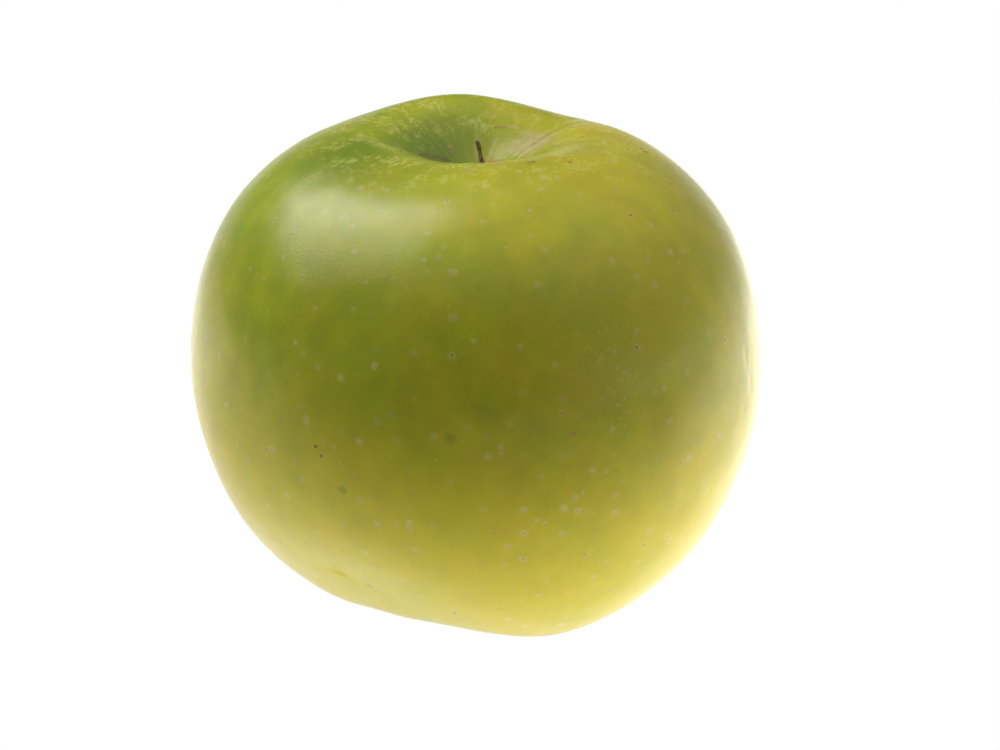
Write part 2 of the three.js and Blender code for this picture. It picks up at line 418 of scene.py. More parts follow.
def add(material, kind, inputs=None, **settings):
    """Adds a node with its settings. An input is a value, or the socket that feeds it, or a node
    whose first output feeds it."""
    made = material.node_tree.nodes.new("ShaderNode" + kind)
    for key, value in settings.items():
        setattr(made, key, value)
    for key, value in (inputs or {}).items():
        if isinstance(value, bpy.types.Node):
            value = value.outputs[0]
        if isinstance(value, bpy.types.NodeSocket):
            material.node_tree.links.new(value, made.inputs[key])
        else:
            made.inputs[key].default_value = value
    return made


def new_material(name):
    material = bpy.data.materials.new(name)
    material.use_nodes = True
    material.node_tree.nodes.clear()
    return material


# A colour mix has a socket for its share, and one for the colour under and the colour over it.
SHARE, UNDER, OVER, MIXED = 0, 6, 7, 2
COLOURS = {"data_type": "RGBA"}
SOFT = {"interpolation_type": "SMOOTHSTEP"}

# %% [markdown]
# ## Waxy apple skin
# The real material is the apple's cuticle: a clear wax, a few hundredths of a millimetre thick,
# grown over green and yellow cells. Light goes through it into the white flesh and comes out again
# nearby, which makes the edges glow, so the shader scatters light under the surface. The wax is
# what shines, as a satin gloss that mirrors a lamp with a soft edge.

# %% Clouds, streaks and dapples
skin_wax = new_material("waxy_apple_skin")
place = add(skin_wax, "TexCoord").outputs["Object"]
course = add(skin_wax, "Attribute", attribute_name="meridians").outputs["Vector"]
masks = {}
for name in fruit.data.attributes.keys():
    if fruit.data.attributes[name].data_type == "FLOAT":
        masks[name] = add(skin_wax, "Attribute", attribute_name=name).outputs["Fac"]
print("masks:", sorted(masks))

BLOTCH = 9  # mm, the width of the clouds of green and gold
clouds = add(skin_wax, "TexNoise", {"Vector": place, "Scale": 1 / (BLOTCH * MM), "Detail": 3.0})
STREAK_WIDTH = 3.2  # mm at the belly, where a streak is widest
STREAK_LENGTH = 11  # mm
BELLY = 45  # mm, the radius that the streak's width is meant for
streak_scale = (BELLY / STREAK_WIDTH, BELLY / STREAK_WIDTH, 1 / STREAK_LENGTH)
streak_place = add(skin_wax, "VectorMath", {0: course, 1: streak_scale}, operation="MULTIPLY")
streaks = add(skin_wax, "TexNoise", {"Vector": streak_place, "Scale": 1.0, "Detail": 4.0})
DAPPLE = 5  # mm, the width of the darker and lighter patches
dapples = add(skin_wax, "TexNoise", {"Vector": place, "Scale": 1 / (DAPPLE * MM), "Detail": 4.0})
# Each of the three noises becomes a shift up or down.
cloud, streak, dapple = [
    add(
        skin_wax,
        "MapRange",
        {"Value": noisy, "From Min": 0.3, "From Max": 0.7, "To Min": -shift, "To Max": shift},
    )
    for noisy, shift in ((clouds, 0.22), (streaks, 0.05), (dapples, 0.13))
]
print("clouds, streaks and dapples, mm:", BLOTCH, STREAK_WIDTH, DAPPLE)

# %% [markdown]
# Hue and tone are kept apart. The hue runs from green to gold, and the tone from deep to milky, so
# four colours and two masks give every shade of the skin. Clouds and streaks shift the hue, and
# dapples and weaker streaks the tone. All else lies over this ground, in layers: each has a share
# that says where it covers, and a colour. One loop lays them all at the end.

# %% Hue, tone and ground colour
mottle = add(skin_wax, "Math", {0: cloud, 1: streak}, operation="ADD")
hue = add(skin_wax, "Math", {0: masks["ripeness"], 1: mottle}, operation="ADD", use_clamp=True)
streak_tone = add(skin_wax, "Math", {0: streak, 1: 0.6}, operation="MULTIPLY")
tone_shift = add(skin_wax, "Math", {0: streak_tone, 1: dapple}, operation="ADD")
tone = add(skin_wax, "Math", {0: masks["paleness"], 1: tone_shift}, operation="ADD", use_clamp=True)
deep, milky = [
    add(
        skin_wax, "Mix", {SHARE: hue, UNDER: linear(green), OVER: linear(gold)}, **COLOURS
    ).outputs[MIXED]
    for green, gold in (("#8ea11c", "#afa220"), ("#c8d018", "#e1d022"))
]
ground = add(skin_wax, "Mix", {SHARE: tone, UNDER: deep, OVER: milky}, **COLOURS).outputs[MIXED]
layers = []

# %% [markdown]
# On the shaded wall of the bowl the skin gets painted shade in deep green. This layer lets a quarter
# of the ground through, so the mottling goes on into the painted shade.

# %% The bowl's painted shade
shaded_share = add(skin_wax, "Math", {0: masks["shaded_wall"], 1: 0.75}, operation="MULTIPLY")
layers.append((shaded_share, linear("#58780e")))

# %% [markdown]
# ## Cork net on the crown
# Where young skin stretched over the crown it tore, finer than a hair, and each tear healed as a
# pale fleck, a little longer along the meridians than across. Two noises draw them: a fine one in
# meridian coordinates for the flecks, and a wide one for the patches that were left whole.

# %% Pale flecks round the bowl
FLECK_WIDTH, FLECK_LENGTH = 0.75, 1.05  # mm
RIM = 20  # mm, the radius of the crown's rim
fleck_scale = (RIM / FLECK_WIDTH, RIM / FLECK_WIDTH, 1 / FLECK_LENGTH)
fleck_place = add(skin_wax, "VectorMath", {0: course, 1: fleck_scale}, operation="MULTIPLY")
flecks = add(
    skin_wax, "TexNoise", {"Vector": fleck_place, "Scale": 1.0, "Detail": 1.6, "Roughness": 0.55}
)
fleck = add(
    skin_wax,
    "MapRange",
    {"Value": flecks, "From Min": 0.48, "From Max": 0.66, "To Max": 0.8},
    **SOFT,
)
PATCH = 5  # mm
patches = add(skin_wax, "TexNoise", {"Vector": place, "Scale": 1 / (PATCH * MM), "Detail": 2.0})
patch = add(skin_wax, "MapRange", {"Value": patches, "From Min": 0.4, "From Max": 0.6}, **SOFT)
net_patch = add(skin_wax, "Math", {0: masks["crown_net"], 1: patch}, operation="MULTIPLY")
net_share = add(skin_wax, "Math", {0: net_patch, 1: fleck}, operation="MULTIPLY")
layers.append((net_share, linear("#c3c465")))

# %% [markdown]
# ## Russet
# Russet is cork: thin, matt and tan, with darker threads where it creased. It covers the right
# wall of the bowl with a ragged edge.

# %% Russet on the right wall
RAG = 2.2  # mm, the width of the rags along the edge
ragged = add(skin_wax, "TexNoise", {"Vector": place, "Scale": 1 / (RAG * MM), "Detail": 5.0})
ragged_mask = add(skin_wax, "Math", {0: masks["russet_wall"], 1: ragged}, operation="ADD")
russet = add(
    skin_wax,
    "MapRange",
    {"Value": ragged_mask, "From Min": 0.6, "From Max": 1.3, "To Max": 0.8},
    **SOFT,
)
CORK_WIDTH, CORK_LENGTH = 0.5, 1.1  # mm, one thread
WALL = 12  # mm, the radius of the bowl's wall
cork_scale = (WALL / CORK_WIDTH, WALL / CORK_WIDTH, 1 / CORK_LENGTH)
cork_place = add(skin_wax, "VectorMath", {0: course, 1: cork_scale}, operation="MULTIPLY")
cork_threads = add(skin_wax, "TexNoise", {"Vector": cork_place, "Scale": 1.0, "Detail": 3.0})
cork_share = add(
    skin_wax, "MapRange", {"Value": cork_threads, "From Min": 0.45, "From Max": 0.65}, **SOFT
)
cork = add(
    skin_wax, "Mix", {SHARE: cork_share, UNDER: linear("#bdb074"), OVER: linear("#a08c62")}, **COLOURS
).outputs[MIXED]
layers.append((russet, cork))

# %% [markdown]
# ## Lenticels
# An apple breathes through lenticels, pores that heal over as pale corky dots with a dark pin in
# the middle. They lie 2 to 5 mm apart. A 3D Voronoi texture gives each cell one centre, and only
# the centres that lie near the skin show, so the dots differ in size and leave gaps, as real ones
# do. A slight wobble of the coordinates makes them less round.

# %% Scatter the lenticels
WOBBLE = 0.9 * MM  # its width, and also its reach
wobble = add(skin_wax, "TexNoise", {"Vector": place, "Scale": 1 / WOBBLE, "Detail": 2.0})
wobble_centred = add(
    skin_wax, "VectorMath", {0: wobble.outputs["Color"], 1: (0.5, 0.5, 0.5)}, operation="SUBTRACT"
)
wobble_shift = add(skin_wax, "VectorMath", {0: wobble_centred, "Scale": WOBBLE}, operation="SCALE")
wobbly = add(skin_wax, "VectorMath", {0: place, 1: wobble_shift}, operation="ADD")

LENTICEL_CELL = 2.7  # mm
SMALLEST, LARGEST = 0.35, 0.84  # mm, the radius of a dot
cells = add(skin_wax, "TexVoronoi", {"Vector": wobbly, "Scale": 1 / (LENTICEL_CELL * MM)})
draws = add(skin_wax, "SeparateColor", {"Color": cells.outputs["Color"]})
dot_range = {"To Min": SMALLEST / LENTICEL_CELL, "To Max": LARGEST / LENTICEL_CELL}
dot_radius = add(skin_wax, "MapRange", {"Value": draws.outputs["Red"], **dot_range})
reach = add(skin_wax, "Math", {0: cells, 1: dot_radius}, operation="DIVIDE")
print("lenticels: one centre for each cell of", LENTICEL_CELL, "mm")

# %% [markdown]
# The distance from the centre, counted in radii of the dot, draws a pale halo with a soft edge and,
# in some dots, the dark pin. Each cell's random colour decides how strong they are.

# %% Halos and pins
halo = add(
    skin_wax, "MapRange", {"Value": reach, "From Min": 1.3, "From Max": 0.2, "To Max": 1.0}, **SOFT
)
halo_strength = add(
    skin_wax, "MapRange", {"Value": draws.outputs["Green"], "To Min": 0.18, "To Max": 0.7}
)
halo_share = add(skin_wax, "Math", {0: halo, 1: halo_strength}, operation="MULTIPLY")
halo_colour = add(
    skin_wax, "Mix", {SHARE: tone, UNDER: linear("#c2b86c"), OVER: linear("#f2e8a0")}, **COLOURS
).outputs[MIXED]
layers.append((halo_share, halo_colour))
pin = add(skin_wax, "MapRange", {"Value": reach, "From Min": 0.42, "From Max": 0.2}, **SOFT)
pin_strength = add(
    skin_wax,
    "MapRange",
    {"Value": draws.outputs["Blue"], "From Min": 0.35, "From Max": 1.0, "To Max": 0.8},
)
pin_share = add(skin_wax, "Math", {0: pin, 1: pin_strength}, operation="MULTIPLY")
layers.append((pin_share, linear("#6b4f22")))

# %% [markdown]
# Between the lenticels lie younger, smaller ones, plain pale points with no pin. They crowd
# towards the foot.

# %% Scatter the small points
POINT_CELL, POINT_RADIUS = 1.7, 0.3  # mm
point_cells = add(skin_wax, "TexVoronoi", {"Vector": wobbly, "Scale": 1 / (POINT_CELL * MM)})
point_draws = add(skin_wax, "SeparateColor", {"Color": point_cells.outputs["Color"]})
point_radius = add(
    skin_wax,
    "MapRange",
    {"Value": point_draws.outputs["Red"], "From Min": 0.5, "To Max": POINT_RADIUS / POINT_CELL},
)
point = add(skin_wax, "Math", {0: point_radius, 1: point_cells}, operation="SUBTRACT")
point_mask = add(skin_wax, "MapRange", {"Value": point, "From Max": 0.1}, **SOFT)
point_level = add(skin_wax, "MapRange", {"Value": masks["foot"], "To Min": 0.4, "To Max": 0.8})
point_share = add(skin_wax, "Math", {0: point_mask, 1: point_level}, operation="MULTIPLY")
layers.append((point_share, linear("#e4dc80")))

# %% [markdown]
# A band of scurf, a rash of still finer points, climbs the right of the front.

# %% Scatter the scurf
SPECK_CELL = 1.0  # mm
specks = add(skin_wax, "TexVoronoi", {"Vector": wobbly, "Scale": 1 / (SPECK_CELL * MM)})
speck = add(
    skin_wax,
    "MapRange",
    {"Value": specks, "From Min": 0.34, "From Max": 0.16, "To Max": 0.5},
    **SOFT,
)
speck_share = add(skin_wax, "Math", {0: speck, 1: masks["scurf"]}, operation="MULTIPLY")
layers.append((speck_share, linear("#bcc052")))

# %% [markdown]
# ## Old marks
# Every apple that grew outdoors has a few: corked scars from twigs, bruised green spots, brown
# flecks in the folds. Each is a small soft spot at a place on the skin, given by its azimuth and
# either its height on the flank or its distance from the stalk in the bowl. A ray finds the place.


# %% Place the marks
def way_out(degrees):
    return Vector((math.cos(math.radians(degrees)), math.sin(math.radians(degrees)), 0))


def on_flank(degrees, rise):
    """The skin's point at an azimuth and a height in mm."""
    start = Vector((0, 0, rise * MM)) + way_out(degrees)
    return skin_tree.ray_cast(start, -way_out(degrees))[0]


def in_crown(degrees, out):
    """The skin's point at an azimuth and a distance from the axis in mm."""
    start = Vector((0, 0, 1)) + way_out(degrees) * out * MM
    return skin_tree.ray_cast(start, Vector((0, 0, -1)))[0]


# Each mark: where it is, its radius in mm, its colour and how strongly it covers.
marks = [
    (on_flank(266, 41.7), 0.9, "#5f6d1c", 0.32),  # green bruise on the front
    (on_flank(242.8, 31.2), 0.8, "#6d7420", 0.35),
    (on_flank(235.4, 10.6), 0.7, "#7c7a26", 0.4),
    (on_flank(237.5, 37.6), 0.3, "#3e3a16", 0.8),  # two brown flecks
    (on_flank(238.6, 36.2), 0.4, "#8a5c34", 0.7),
    (on_flank(288.3, 42.3), 0.3, "#b07a3c", 0.65),  # corked bite of an insect
    (in_crown(199, 37.6), 1.6, "#6fa01c", 0.35),  # vivid green patch
    (in_crown(355.6, 26.7), 0.5, "#5b4a22", 0.8),  # thin dark scar
    (in_crown(357.6, 26.0), 0.35, "#5b4a22", 0.7),
    (in_crown(339.4, 32.3), 0.3, "#2c2412", 0.9),
    (in_crown(312.8, 21.7), 0.35, "#7a5426", 0.8),
    (in_crown(118.8, 7.8), 0.5, "#9a8452", 0.8),  # lenticel in the bowl
    (in_crown(118.8, 7.8), 0.2, "#4a3518", 0.9),
    (in_crown(297, 19.3), 0.8, "#7a5a55", 0.35),  # purple bruise in front of the bowl
    (in_crown(299, 19.0), 0.5, "#6b4a3c", 0.5),
    (in_crown(312.8, 20.6), 0.8, "#c08a3c", 0.3),
]
# Healed scratch on the back wall: a short row of small spots, pale tan and then brown.
for degrees, out in ((60, 13.6), (62, 13.7), (64, 13.6), (66, 13.4)):
    marks.append((in_crown(degrees, out), 0.38, "#c9b078", 0.75))
for degrees, out in ((68, 13.0), (70, 12.8), (72, 12.8), (74, 12.5)):
    marks.append((in_crown(degrees, out), 0.34, "#a8743c", 0.7))
# A mark covers fully inside half of its radius, and not at all outside 1.25 of it.
for mark_place, mark_radius, mark_colour, mark_cover in marks:
    away = add(skin_wax, "VectorMath", {0: wobbly, 1: mark_place}, operation="DISTANCE")
    outer, inner = 1.25 * mark_radius * MM, 0.5 * mark_radius * MM
    mark_range = {"From Min": outer, "From Max": inner, "To Max": mark_cover}
    mark = add(skin_wax, "MapRange", {"Value": away.outputs["Value"], **mark_range}, **SOFT)
    layers.append((mark, linear(mark_colour)))
print("marks:", len(marks))

# %% [markdown]
# Dirt and cork gather in the folds of the crown as broken brown flecks, and a patch of orange cork
# joins the stalk to the floor of the bowl.

# %% Flecks in the folds and cork at the stalk's foot
GRIT = 0.45  # mm
grit = add(skin_wax, "TexNoise", {"Vector": place, "Scale": 1 / (GRIT * MM), "Detail": 4.0})
fold_grit = add(skin_wax, "Math", {0: masks["folds"], 1: grit}, operation="ADD")
fold_share = add(
    skin_wax,
    "MapRange",
    {"Value": fold_grit, "From Min": 1.28, "From Max": 1.5, "To Max": 0.9},
    **SOFT,
)
layers.append((fold_share, linear("#6f5836")))
CORK_OFFSET = Vector((1.6, 2.2, 0.6)) * MM  # from the bowl's floor towards its back wall
RING_INNER, RING_OUTER = 2.4 * MM, 3.6 * MM
cork_middle = Vector(bowl_floor) + CORK_OFFSET
from_ring = add(skin_wax, "VectorMath", {0: wobbly, 1: cork_middle}, operation="DISTANCE")
ring_range = {"From Min": RING_OUTER, "From Max": RING_INNER, "To Max": 0.85}
ring_share = add(skin_wax, "MapRange", {"Value": from_ring.outputs["Value"], **ring_range}, **SOFT)
layers.append((ring_share, linear("#a8683a")))

# %% [markdown]
# Each layer is one mix over all that lies under it, as coats of paint are.

# %% Lay the layers over the ground
for cover, colour in layers:
    ground = add(
        skin_wax, "Mix", {SHARE: cover, UNDER: ground, OVER: colour}, **COLOURS
    ).outputs[MIXED]
print("layers over the ground:", len(layers))

# %% [markdown]
# The wax is smooth to the finger but not to a lamp: cells give it a grain of about half a
# millimetre, lenticels and cork stand up a little, and pins sink in. Where cork replaced the wax,
# most of the gloss is gone.

# %% Gloss and grain
GRAIN = 0.45  # mm
grain = add(skin_wax, "TexNoise", {"Vector": place, "Scale": 1 / (GRAIN * MM), "Detail": 2.0})
corked = add(skin_wax, "Math", {0: russet, 1: net_share}, operation="MAXIMUM")
dotted = add(skin_wax, "Math", {0: corked, 1: halo_share}, operation="MAXIMUM")
matt = add(skin_wax, "MapRange", {"Value": corked, "To Min": 0.25, "To Max": 0.55})
dull = add(skin_wax, "MapRange", {"Value": clouds, "To Min": -0.06, "To Max": 0.06})
satin = add(skin_wax, "Math", {0: matt, 1: dull}, operation="ADD")
raised = add(skin_wax, "Math", {0: dotted, 1: grain}, operation="ADD")
streaked = add(skin_wax, "Math", {0: streaks, 1: raised}, operation="ADD")
sunk = add(skin_wax, "Math", {0: streaked, 1: pin_share}, operation="SUBTRACT")
RELIEF_DEPTH = 0.04 * MM
bump = add(skin_wax, "Bump", {"Height": sunk, "Strength": 0.8, "Distance": RELIEF_DEPTH})
# How far red, green and blue light travels in the flesh before it comes out again.
FLESH_REACH = (0.0045, 0.0035, 0.0008)
shader = add(
    skin_wax,
    "BsdfPrincipled",
    {
        "Base Color": ground,
        "Roughness": satin,
        "IOR": 1.45,
        "Subsurface Weight": 0.5,
        "Subsurface Radius": FLESH_REACH,
        "Subsurface Scale": 1.0,
        "Normal": bump,
    },
)
add(skin_wax, "OutputMaterial", {"Surface": shader})
fruit.data.materials.append(skin_wax)
print("skin nodes:", len(skin_wax.node_tree.nodes))

# %% [markdown]
# ## The stalk
# This stalk broke off short when the fruit was picked, and dried to a thin ridged stick. The CAD
# stalk is a smooth tube, whose rings each lie at one height. Those rings give the course and the
# thickness of a finer tube, which dried slimmer in the middle, has ridges that wind up it, and ends
# in a rounded tip.


# %% Read the rings of a CAD piece
def rings_of(node):
    """Centre and points of each level ring of a CAD node, from the lowest up."""
    levels = {}
    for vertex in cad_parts[node].data.vertices:
        levels.setdefault(round(vertex.co.z / (0.01 * MM)), []).append(np.array(vertex.co))
    return [(np.mean(levels[level], 0), np.array(levels[level])) for level in sorted(levels)]


stalk_rings = rings_of("stalk")
stalk_middles = np.array([middle for middle, _ in stalk_rings])
stalk_widths = np.array(
    [np.linalg.norm(ring[:, :2] - middle[:2], axis=1).max() for middle, ring in stalk_rings]
)
print("stalk rings:", len(stalk_rings), "thinnest, mm:", round(stalk_widths.min() / MM, 2))

# %% [markdown]
# The CAD stalk has few rings, so the finer tube reads centres and widths between them. Two waves
# round the tube make the ridges, and a noise makes the lumps.


# %% Build the stalk
def between(values, places):
    """Values read at fractional places along a list, as a smooth course."""
    values = np.asarray(values, float)
    lower = np.clip(np.floor(places).astype(int), 0, len(values) - 2)
    share = places - lower
    share = share.reshape(-1, *([1] * (values.ndim - 1)))
    return values[lower] * (1 - share) + values[lower + 1] * share


STALK_ROWS, STALK_SIDES = 90, 40
TWIST = 2.2  # radians from the foot to the tip
along = np.linspace(0, len(stalk_middles) - 1, STALK_ROWS)
share_up = np.linspace(0, 1, STALK_ROWS)
middles = between(stalk_middles, along)
widths = between(stalk_widths, along)
around = np.arange(STALK_SIDES) * 2 * math.pi / STALK_SIDES
stalk_grid = np.zeros((STALK_ROWS, STALK_SIDES, 3))
for row in range(STALK_ROWS):
    up = share_up[row]
    twisted = around + TWIST * up
    ridges = 1 + 0.13 * np.cos(5 * twisted) + 0.07 * np.cos(9 * twisted + 1.3)
    lumps = np.array(
        [noise.noise(Vector((math.cos(a), math.sin(a), up * 9)) * 1.4) for a in around]
    )
    slim = 0.82 - 0.12 * math.exp(-(((up - 0.55) / 0.2) ** 2))
    dome = math.sqrt(max(0.05, 1 - max(0, (up - 0.88) / 0.12) ** 2))
    spread = widths[row] * ridges * (1 + 0.3 * lumps) * slim * dome
    stalk_grid[row, :, 0] = middles[row, 0] + spread * np.cos(around)
    stalk_grid[row, :, 1] = middles[row, 1] + spread * np.sin(around)
    stalk_grid[row, :, 2] = middles[row, 2]
stalk_piece = new_piece("stalk_stick", [stalk_grid], "stalk")

# %% [markdown]
# Dry wood fibre under a flaking brown bark: matt, greyed on the ridges, with painted shade dark in the
# grooves.

# %% Withered bark
bark = new_material("withered_stalk_bark")
bark_place = add(bark, "TexCoord").outputs["Object"]
FIBRE_WIDTH, FIBRE_LENGTH = 0.16, 1.2  # mm
fibre_scale = (1 / (FIBRE_WIDTH * MM), 1 / (FIBRE_WIDTH * MM), 1 / (FIBRE_LENGTH * MM))
fibre_place = add(bark, "VectorMath", {0: bark_place, 1: fibre_scale}, operation="MULTIPLY")
fibres = add(bark, "TexNoise", {"Vector": fibre_place, "Scale": 1.0, "Detail": 4.0})
WORN_PATCH = 0.7  # mm
worn = add(bark, "TexNoise", {"Vector": bark_place, "Scale": 1 / (WORN_PATCH * MM), "Detail": 3.0})
fibre_tone = add(bark, "Math", {0: fibres, 1: worn}, operation="MULTIPLY")
# Painted shade: the bark is darker where the fibres sink into grooves, and grey on the ridges and worn
# patches.
ridge_grey_groove_shade = add(bark, "MapRange", {"Value": fibre_tone, "From Min": 0.18, "From Max": 0.4}, **SOFT)
bark_colour = add(
    bark, "Mix", {SHARE: ridge_grey_groove_shade, UNDER: linear("#5a4838"), OVER: linear("#c0b098")}, **COLOURS
).outputs[MIXED]
bark_bump = add(bark, "Bump", {"Height": fibres, "Strength": 0.8, "Distance": 0.08 * MM})
bark_shader = add(
    bark,
    "BsdfPrincipled",
    {"Base Color": bark_colour, "Roughness": 0.85, "IOR": 1.5, "Normal": bark_bump},
)
add(bark, "OutputMaterial", {"Surface": bark_shader})
stalk_piece.data.materials.append(bark)

# %% [markdown]
# ## The dried flower
# Five sepals still hang round the basin's roof. Dry sepals are cupped and wrinkled, with a rib up
# the middle and a tip that curls. The CAD leaflets are flat strips of level rows, and each row
# gives a place and a width to a cupped section.


# %% Build the sepals
SEPAL_ROWS, SEPAL_SIDES = 40, 36
SEPAL_THICKNESS, RIB_HEIGHT, CRINKLE_HEIGHT = 0.32 * MM, 0.18 * MM, 0.16 * MM
CUP_SHARE = 0.22  # how deep the cup is, as a share of the leaf's width
section = np.arange(SEPAL_SIDES) * 2 * math.pi / SEPAL_SIDES
sepal_pieces = []
for number in range(1, 6):
    rows = rings_of(f"sepal_{number}")[::-1]
    row_middles = np.array([middle for middle, _ in rows])
    outward = unit((row_middles[-1] - np.array(basin_roof)) * np.array([1, 1, 0]))
    sideways = np.array([-outward[1], outward[0], 0])
    row_widths = np.array([np.ptp(ring @ sideways) for _, ring in rows])
    steps = np.linspace(0, len(rows) - 1, SEPAL_ROWS)
    leaf_middles = between(row_middles, steps)
    leaf_widths = between(row_widths, steps)
    courses = unit(np.gradient(leaf_middles, axis=0))
    leaf = np.zeros((SEPAL_ROWS, SEPAL_SIDES, 3))
    for row in range(SEPAL_ROWS):
        share = row / (SEPAL_ROWS - 1)
        face = unit(np.cross(sideways, courses[row]))
        across = np.cos(section)
        thick = np.sin(section) * (0.55 + 0.45 * (1 - across**2))
        cup = CUP_SHARE * leaf_widths[row] * across**2
        rib = RIB_HEIGHT * np.exp(-((across / 0.16) ** 2)) * (np.sin(section) > 0)
        crinkle = CRINKLE_HEIGHT * np.array(
            [noise.noise(Vector((a * 2.2, share * 5, number * 7.7))) for a in across]
        )
        taper = 1 - 0.85 * smooth_step(np.array(share), 0.9, 1.0)
        rise = taper * thick * SEPAL_THICKNESS / 2 + rib + crinkle - cup
        leaf[row] = (
            leaf_middles[row]
            + np.outer(across * taper * leaf_widths[row] / 2, sideways)
            + np.outer(rise, face)
        )
    sepal_pieces.append(new_piece(f"dried_sepal_{number}", [leaf], f"sepal_{number}"))

# %% [markdown]
# Between the sepals stands what is left of the stamens: a ring of dry threads, each with a
# shrivelled anther at its end, round a thicker bundle of styles.


# %% Build the stamens
def thread(path, radii, sides=10):
    """A thin closed tube down a path. Its rings are level."""
    turn = np.arange(sides) * 2 * math.pi / sides
    grid = np.repeat(path[:, None, :], sides, axis=1)
    grid[..., 0] += radii[:, None] * np.cos(turn)
    grid[..., 1] += radii[:, None] * np.sin(turn)
    return grid


tuft_low, tuft_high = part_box("stamens")
tuft_middle = (tuft_low + tuft_high) / 2
tuft_reach = (tuft_high.x - tuft_low.x) / 2
tuft_draw = random.Random(11)
threads = []
STAMEN_COUNT, STYLE_COUNT, THREAD_STEPS = 20, 5, 16
down = np.linspace(0, 1, THREAD_STEPS)
for number in range(STAMEN_COUNT):
    angle = number * 2 * math.pi / STAMEN_COUNT + tuft_draw.uniform(-0.12, 0.12)
    stride = tuft_reach * (0.62 + 0.3 * (number % 2))
    length = (tuft_high.z - tuft_low.z) * tuft_draw.uniform(0.75, 0.95)
    sway = tuft_draw.uniform(-0.3, 0.3)
    path = np.zeros((THREAD_STEPS, 3))
    path[:, 0] = tuft_middle.x + stride * np.cos(angle + sway * down) * (0.8 + 0.2 * down)
    path[:, 1] = tuft_middle.y + stride * np.sin(angle + sway * down) * (0.8 + 0.2 * down)
    path[:, 2] = tuft_high.z - length * down
    anther = np.exp(-(((down - 0.9) / 0.08) ** 2))
    threads.append(thread(path, (0.085 + 0.13 * anther) * MM * (1 - 0.8 * (down == 1))))
for number in range(STYLE_COUNT):
    angle = number * 2 * math.pi / STYLE_COUNT
    path = np.zeros((THREAD_STEPS, 3))
    path[:, 0] = tuft_middle.x + 0.22 * MM * np.cos(angle + down)
    path[:, 1] = tuft_middle.y + 0.22 * MM * np.sin(angle + down)
    path[:, 2] = tuft_high.z - (tuft_high.z - tuft_low.z) * 0.98 * down
    threads.append(thread(path, (0.16 + 0.05 * np.cos(9 * down)) * MM * (1 - 0.7 * (down == 1))))
stamen_piece = new_piece("stamen_tuft", threads, "stamens")

# %% [markdown]
# Both are dry plant tissue, brown and matt. The sepals keep a grey down on their backs, which the
# sheen gives at their edges.


# %% Dried sepal and stamen materials
dry_leaf = new_material("dried_sepal")
leaf_place = add(dry_leaf, "TexCoord").outputs["Object"]
veins = add(dry_leaf, "TexNoise", {"Vector": leaf_place, "Scale": 1 / (0.5 * MM), "Detail": 5.0})
stains = add(dry_leaf, "TexNoise", {"Vector": leaf_place, "Scale": 1 / (2 * MM), "Detail": 2.0})
leaf_tone = add(dry_leaf, "Math", {0: veins, 1: stains}, operation="MULTIPLY")
leaf_share = add(
    dry_leaf, "MapRange", {"Value": leaf_tone, "From Min": 0.15, "From Max": 0.4}, **SOFT
)
leaf_colour = add(
    dry_leaf, "Mix", {SHARE: leaf_share, UNDER: linear("#4c3c24"), OVER: linear("#93835a")}, **COLOURS
).outputs[MIXED]
leaf_bump = add(dry_leaf, "Bump", {"Height": veins, "Strength": 0.8, "Distance": 0.1 * MM})
leaf_shader = add(
    dry_leaf,
    "BsdfPrincipled",
    {
        "Base Color": leaf_colour,
        "Roughness": 0.9,
        "Sheen Weight": 0.4,
        "Sheen Roughness": 0.5,
        "Normal": leaf_bump,
    },
)
add(dry_leaf, "OutputMaterial", {"Surface": leaf_shader})
for piece in sepal_pieces:
    piece.data.materials.append(dry_leaf)

dry_thread = new_material("dried_stamen")
thread_spot = add(dry_thread, "TexCoord").outputs["Object"]
dust = add(dry_thread, "TexNoise", {"Vector": thread_spot, "Scale": 1 / (0.6 * MM), "Detail": 3.0})
thread_colour = add(
    dry_thread, "Mix", {SHARE: dust, UNDER: linear("#2f2315"), OVER: linear("#6b5433")}, **COLOURS
).outputs[MIXED]
thread_shader = add(dry_thread, "BsdfPrincipled", {"Base Color": thread_colour, "Roughness": 0.95})
add(dry_thread, "OutputMaterial", {"Surface": thread_shader})
stamen_piece.data.materials.append(dry_thread)
print("materials:", len(bpy.data.materials))

# %% [markdown]
# ## The studio
# The apple stands on a light table: a white glowing sheet that drowns every shadow. The table is
# brighter on the right and behind. It is dim in front of the fruit, so the front of the apple looks
# into a dim room. Its light is a little warm, and only the camera sees it even and white.

# %% Light table
TABLE = 0.7  # metres from the middle to the edge
table_mesh = bpy.data.meshes.new("light_table")
corners = [(-TABLE, -TABLE, 0), (TABLE, -TABLE, 0), (TABLE, TABLE, 0), (-TABLE, TABLE, 0)]
table_mesh.from_pydata(corners, [], [(0, 1, 2, 3)])
table = bpy.data.objects.new("light_table", table_mesh)
bpy.context.scene.collection.objects.link(table)
glow = new_material("light_table_glow")
table_place = add(glow, "TexCoord").outputs["Object"]
table_spot = add(glow, "SeparateXYZ", {"Vector": table_place})
from_apple = add(glow, "VectorMath", {0: table_place}, operation="LENGTH").outputs["Value"]
